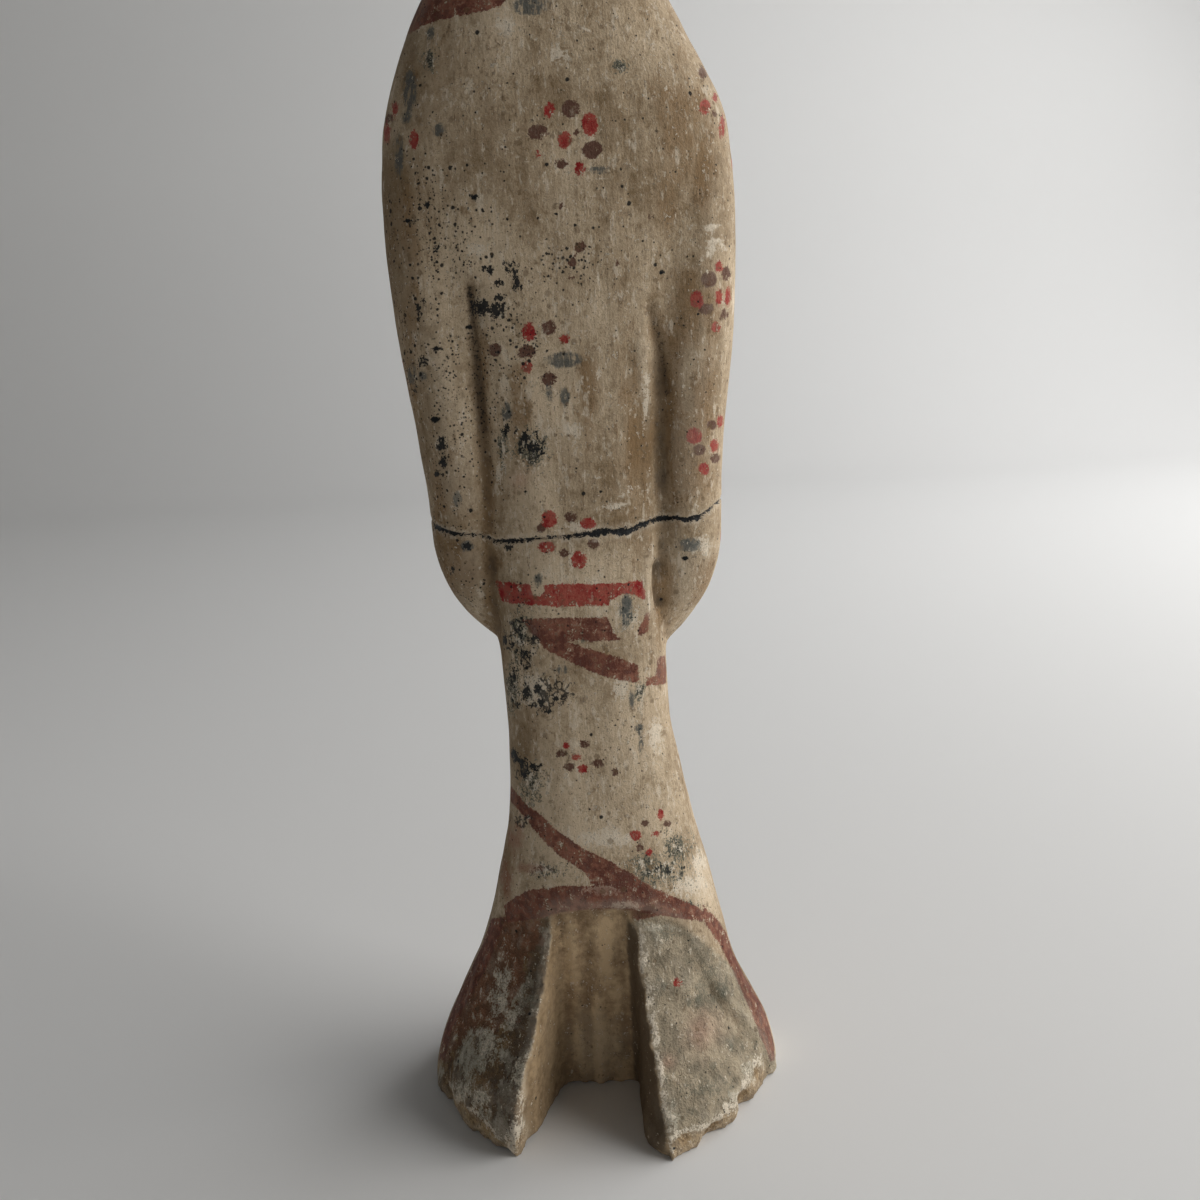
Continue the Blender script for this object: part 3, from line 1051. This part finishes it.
def specks(size, density, shift, widest):
    """Round dots of dirt of mixed sizes, more of them where the density is high."""
    shifted = Tint.add("ShaderNodeVectorMath", {0: plain, 1: (shift, 2 * shift, 3 * shift)},
                       operation="ADD")
    cells = Tint.add("ShaderNodeTexVoronoi", {"Vector": shifted, "Scale": 1 / size})
    pick = Tint.add("ShaderNodeSeparateColor", {0: cells.beside("Color")})
    spread = pick.beside("Green")
    radius = spread * spread * widest + 0.12
    shown = step(pick, 1 - density, 1.001 - density)
    return step(cells + grain * 0.05 + small * 0.03, radius, radius * 0.6) * shown


density = stored("specks") * (1 - skin)
rest = 1 - skin * 0.75 - stored("bare") * 0.8
clumps = step(tone + small * 0.3, -0.6, 0.4) * 0.6 + 0.4
colour = layered(
    colour,
    (specks(1.9, density * 1.1 * clumps + rest * 0.025, 3.1, 0.36) * 0.94, SOOT),
    (specks(0.95, density * 1.3 * clumps + rest * 0.07, 7.7, 0.40) * 0.88, SOOT),
    (specks(3.4, rest * 0.32, 5.2, 0.30) * 0.5, BROWN))
crust = step(stored("crust") * 1.55 + small * 0.32 + grain * 0.26 + flake * 0.34, 0.96, 1.08)
edges = Tint.add("ShaderNodeTexVoronoi", {"Vector": scaled((1, 1, 0.8)), "Scale": 1 / 2.5},
                 feature="DISTANCE_TO_EDGE")
crackle = step(edges + grain * 0.05 + small * 0.07, 0.17, 0.09)
crackle = crackle * step(stored("crackled") + small * 0.42 + flake * 0.25, 0.72, 0.90)
flaked = step(stored("crackled") * 0.8 + flake * 0.42 + grain * 0.34, 1.06, 1.16)
blackened = crust.at_least(crackle * 0.9).at_least(flaked)
gap = stored("gap") + small * 0.44 + grain * 0.24 + flake * 0.36
glue = blend(step(small + flake * 0.6, 0.1, 1.3) * 0.7, SOOT, GRIME)
colour = layered(
    colour,
    (step(stored("crust") * 1.4 + small * 0.4, 0.6, 1.3) * 0.30, GREEN_GREY),
    (blackened * 0.96, SOOT),
    (step(stored("black") + fray * 0.5, 0.2, -0.2), SOOT),
    (step(gap + small * 0.9, 1.6, -0.2) * 0.34, SLIP_PALE),
    (step(gap, 0.26, -0.06), glue))

roughness = 0.92 + small * 0.05 - blackened * 0.30 - step(gap, 0.3, 0.0) * 0.40 - on_hair * 0.18
rugged = stored("tail").at_least(stored("broken"))
height = strokes * 0.030 + small * (0.06 + rugged * 0.20) + blotch * rugged * 0.18
height = height + grain * (0.022 + rugged * 0.012) + flake * 0.04 + crust * 0.10 + laid * 0.045
height = height + on_hair * combing * 0.16 - pale * 0.06
bumped = Tint.add("ShaderNodeBump", {"Strength": 0.9, "Distance": 0.0010, "Height": height})
shader = Tint.add("ShaderNodeBsdfPrincipled", {"Base Color": colour, "Roughness": roughness,
                                               "Normal": bumped, "Specular IOR Level": 0.25})
Tint.add("ShaderNodeOutputMaterial", {"Surface": shader})

lady.data.materials.clear()
lady.data.materials.append(coat)
for face in lady.data.polygons:
    face.use_smooth = True
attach(lady, "root")
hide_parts("court_lady_figure")


# She stands on pale paper that turns up into a wall on every side, in soft daylight from the
# photograph's right.
PAPER = (0.77, 0.77, 0.765, 1)
PAPER_MIDDLE = (0, 0.35, 0.95)
PAPER_SIZE = (5.2, 4.5, 1.9)
PAPER_RADIUS = 0.5
DAYLIGHT = (1, 0.985, 0.96, 1)
SKY_STRENGTH = 0.055
WINDOW_WATTS = 23
FLOOR_WATTS = 9.5
WALL_WATTS = 2.8
FAR_WATTS = 7

bpy.ops.object.select_all(action="DESELECT")
bpy.ops.mesh.primitive_cube_add(size=1, location=PAPER_MIDDLE, scale=PAPER_SIZE)
floor = bpy.context.object
floor.name = floor.data.name = "paper_tray"
bpy.ops.object.transform_apply(location=True, rotation=False, scale=True)
edit(True)
bpy.ops.mesh.select_all(action="DESELECT")
edit(False)
for face in floor.data.polygons:
    face.select = face.normal.z > 0.5
edit(True)
bpy.ops.mesh.delete(type="FACE")
bpy.ops.mesh.select_all(action="SELECT")
bpy.ops.mesh.flip_normals()
edit(False)
turn_up = floor.modifiers.new("turn_up", "BEVEL")
turn_up.width = PAPER_RADIUS
turn_up.segments = 16
turn_up.limit_method = "ANGLE"
true_shade = floor.modifiers.new("true_shade", "WEIGHTED_NORMAL")
true_shade.weight = 100
bpy.ops.object.modifier_apply(modifier=turn_up.name)
paper = bpy.data.materials.new("pale_paper")
paper.use_nodes = True
paper_shader = paper.node_tree.nodes["Principled BSDF"]
paper_shader.inputs["Base Color"].default_value = PAPER
paper_shader.inputs["Roughness"].default_value = 0.95
floor.data.materials.append(paper)
for face in floor.data.polygons:
    face.use_smooth = True
bpy.ops.object.modifier_apply(modifier=true_shade.name)


def soft_light(name, place, aim, size, power, colour=(1, 1, 1)):
    """An oblong soft light at a place, aimed at another, that doesn't show itself."""
    lamp = bpy.data.lights.new(name, "AREA")
    lamp.shape = "RECTANGLE"
    lamp.size, lamp.size_y = size
    lamp.energy = power
    lamp.color = colour
    made = bpy.data.objects.new(name, lamp)
    made.location = place
    made.rotation_euler = (Vector(aim) - Vector(place)).to_track_quat("-Z", "Y").to_euler()
    made.visible_camera = False
    bpy.context.scene.collection.objects.link(made)


soft_light("window", (-1.5, 0.20, 0.92), (0, 0, 0.20), (1.4, 1.1), WINDOW_WATTS, DAYLIGHT[:3])
soft_light("floor_light", (-1.2, -0.95, 0.95), (-0.45, -0.75, 0), (1.0, 0.8), FLOOR_WATTS)
soft_light("wall_light", (-1.0, -0.7, 1.4), (-0.3, -1.9, 0.9), (0.8, 0.6), WALL_WATTS)
soft_light("far_light", (-0.6, 1.1, 1.7), (-2.2, 2.4, 0.8), (1.2, 1.0), FAR_WATTS)

world = bpy.data.worlds.new("daylight")
world.use_nodes = True
sky = world.node_tree.nodes["Background"]
sky.inputs["Color"].default_value = DAYLIGHT
sky.inputs["Strength"].default_value = SKY_STRENGTH
bpy.context.scene.world = world
bpy.context.scene.view_settings.view_transform = "Standard"
